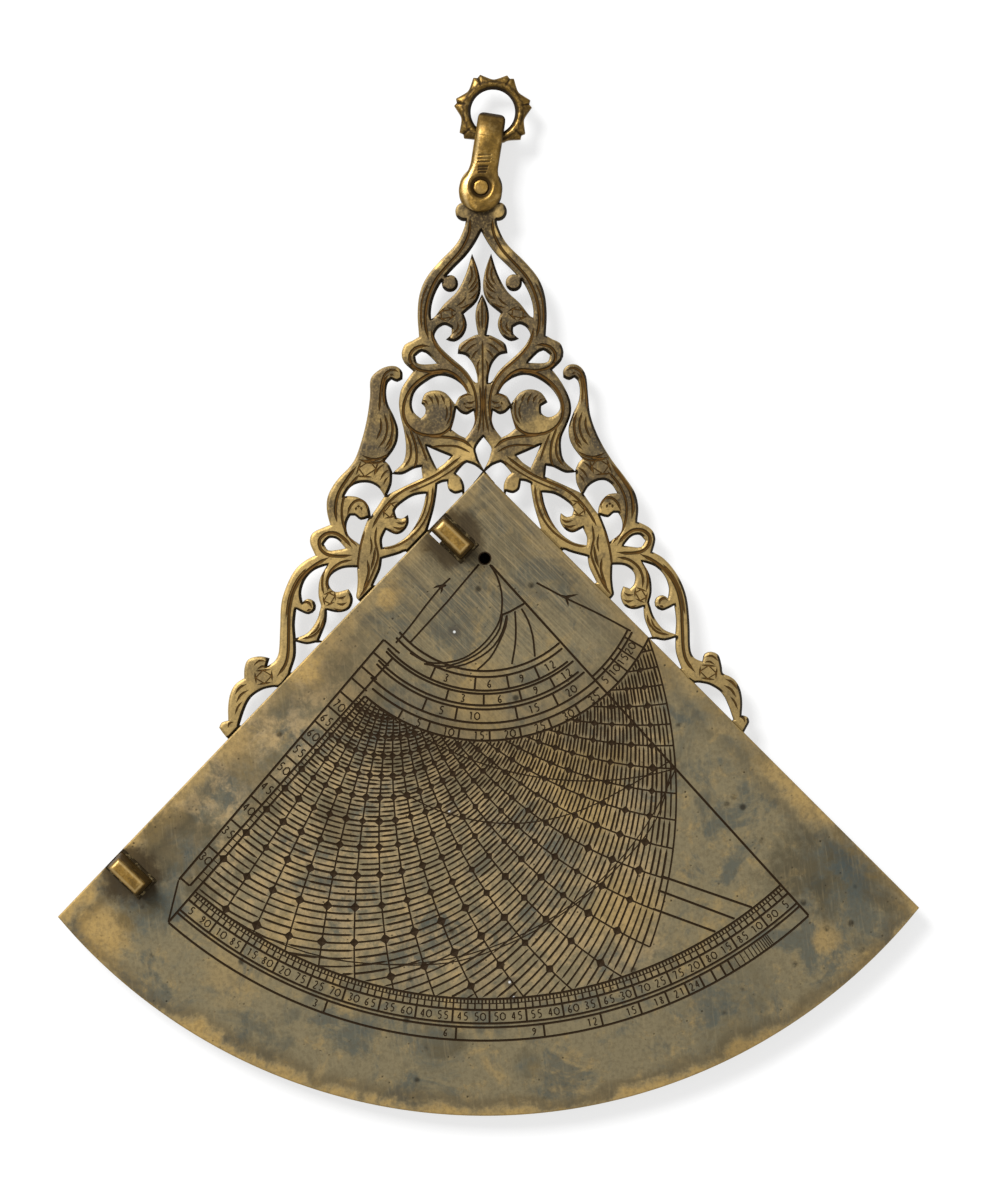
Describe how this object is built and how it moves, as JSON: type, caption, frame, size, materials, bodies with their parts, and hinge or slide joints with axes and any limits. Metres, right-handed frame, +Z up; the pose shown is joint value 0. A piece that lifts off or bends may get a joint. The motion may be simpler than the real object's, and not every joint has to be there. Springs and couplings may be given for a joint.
{
  "type": "astrolabe quadrant",
  "caption": "Quarter-circle brass plate of engraved scales under a pierced scrollwork throne, hung from a chased ring by a riveted shackle, with sight vanes along one edge",
  "frame": {"origin": "the centre of the plumb-cord hole, halfway through the plate, from which every arc is struck", "axes": "+Z up through the rivet when the instrument hangs level, -Y out of the engraved front, +X to the viewer's right"},
  "size_m": [0.2154, 0.0156, 0.2604],
  "materials": {
    "plate": "aged, mottled and engraved",
    "throne": "aged satin with dark engraving",
    "ring": "worn polish",
    "shackle": "worn polish",
    "rivet": "hammered and polished",
    "vane": "bright satin",
    "solder": "rough"
  },
  "bodies": {
    "suspension_ring": {"suspension_ring": "ring"},
    "shackle": {"shackle": "shackle", "shackle_rivet": "rivet"},
    "quadrant": {"quadrant_plate": "plate", "throne": "throne", "upper_sight_vane": "vane", "lower_sight_vane": "vane", "upper_vane_solder": "solder", "lower_vane_solder": "solder"}
  },
  "joints": [
    {"name": "ring_swing", "type": "hinge", "parent": "suspension_ring", "child": "shackle", "pos_m": [0.00215, -0.0002, 0.10542], "axis": [0.9863, 0, -0.165], "range_deg": [-90, 90]},
    {"name": "rivet_swing", "type": "hinge", "parent": "shackle", "child": "quadrant", "pos_m": [0, -0.0002, 0.0926], "axis": [0, 1, 0], "range_deg": [-110, 125]}
  ]
}
